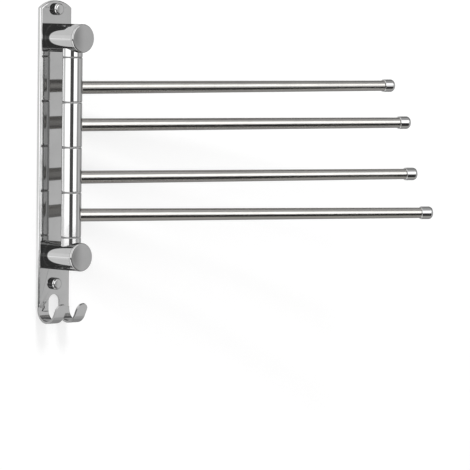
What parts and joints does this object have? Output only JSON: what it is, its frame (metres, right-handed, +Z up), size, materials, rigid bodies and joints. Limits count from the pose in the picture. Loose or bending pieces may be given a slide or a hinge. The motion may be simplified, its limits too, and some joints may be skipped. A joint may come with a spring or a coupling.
{
  "type": "swing-arm towel rack",
  "caption": "Wall-mounted stainless towel rack: swing arms stacked on one upright spindle between two posts, with a double hook at the plate's foot.",
  "frame": {"origin": "midway between the two wall screws, in the plane of the wall", "axes": "+Y into the wall, -Y out into the room, +Z up along the spindle, +X the side the arms point to at rest"},
  "size_m": [0.3816, 0.2167, 0.3111],
  "materials": {
    "polished_steel": "mirror-polished stainless steel",
    "satin_steel": "satin stainless tube, finely brushed along its length",
    "ground_steel": "ground stainless rod",
    "screw_steel": "zinc-plated steel",
    "grey_nylon": "plain grey nylon"
  },
  "bodies": {
    "wall_frame": {"wall_plate": "polished_steel", "spindle_rod": "ground_steel", "upper_post": "polished_steel", "upper_post_cap": "polished_steel", "upper_post_screw": "screw_steel", "upper_collar": "polished_steel", "upper_screw_seat": "grey_nylon", "upper_wall_screw": "screw_steel", "upper_screw_cap": "polished_steel", "lower_post": "polished_steel", "lower_post_cap": "polished_steel", "lower_post_screw": "screw_steel", "lower_collar": "polished_steel", "lower_screw_seat": "grey_nylon", "lower_wall_screw": "screw_steel", "lower_screw_cap": "polished_steel", "friction_washer_1": "grey_nylon", "friction_washer_2": "grey_nylon", "friction_washer_3": "grey_nylon", "friction_washer_4": "grey_nylon", "friction_washer_5": "grey_nylon"},
    "arm_1": {"arm_1_barrel": "polished_steel", "arm_1_upper_bush": "grey_nylon", "arm_1_lower_bush": "grey_nylon", "arm_1_bar": "satin_steel", "arm_1_end_cap": "polished_steel"},
    "arm_2": {"arm_2_barrel": "polished_steel", "arm_2_upper_bush": "grey_nylon", "arm_2_lower_bush": "grey_nylon", "arm_2_bar": "satin_steel", "arm_2_end_cap": "polished_steel"},
    "arm_3": {"arm_3_barrel": "polished_steel", "arm_3_upper_bush": "grey_nylon", "arm_3_lower_bush": "grey_nylon", "arm_3_bar": "satin_steel", "arm_3_end_cap": "polished_steel"},
    "arm_4": {"arm_4_barrel": "polished_steel", "arm_4_upper_bush": "grey_nylon", "arm_4_lower_bush": "grey_nylon", "arm_4_bar": "satin_steel", "arm_4_end_cap": "polished_steel"}
  },
  "joints": [
    {"name": "arm_1_swing", "type": "hinge", "parent": "wall_frame", "child": "arm_1", "pos_m": [0, -0.0285, 0], "axis": [0, 0, -1], "range_deg": [-11.5, 168.5]},
    {"name": "arm_2_swing", "type": "hinge", "parent": "wall_frame", "child": "arm_2", "pos_m": [0, -0.0285, 0], "axis": [0, 0, -1], "range_deg": [-16.5, 163.5]},
    {"name": "arm_3_swing", "type": "hinge", "parent": "wall_frame", "child": "arm_3", "pos_m": [0, -0.0285, 0], "axis": [0, 0, -1], "range_deg": [-19, 161]},
    {"name": "arm_4_swing", "type": "hinge", "parent": "wall_frame", "child": "arm_4", "pos_m": [0, -0.0285, 0], "axis": [0, 0, -1], "range_deg": [-25.5, 154.5]}
  ]
}
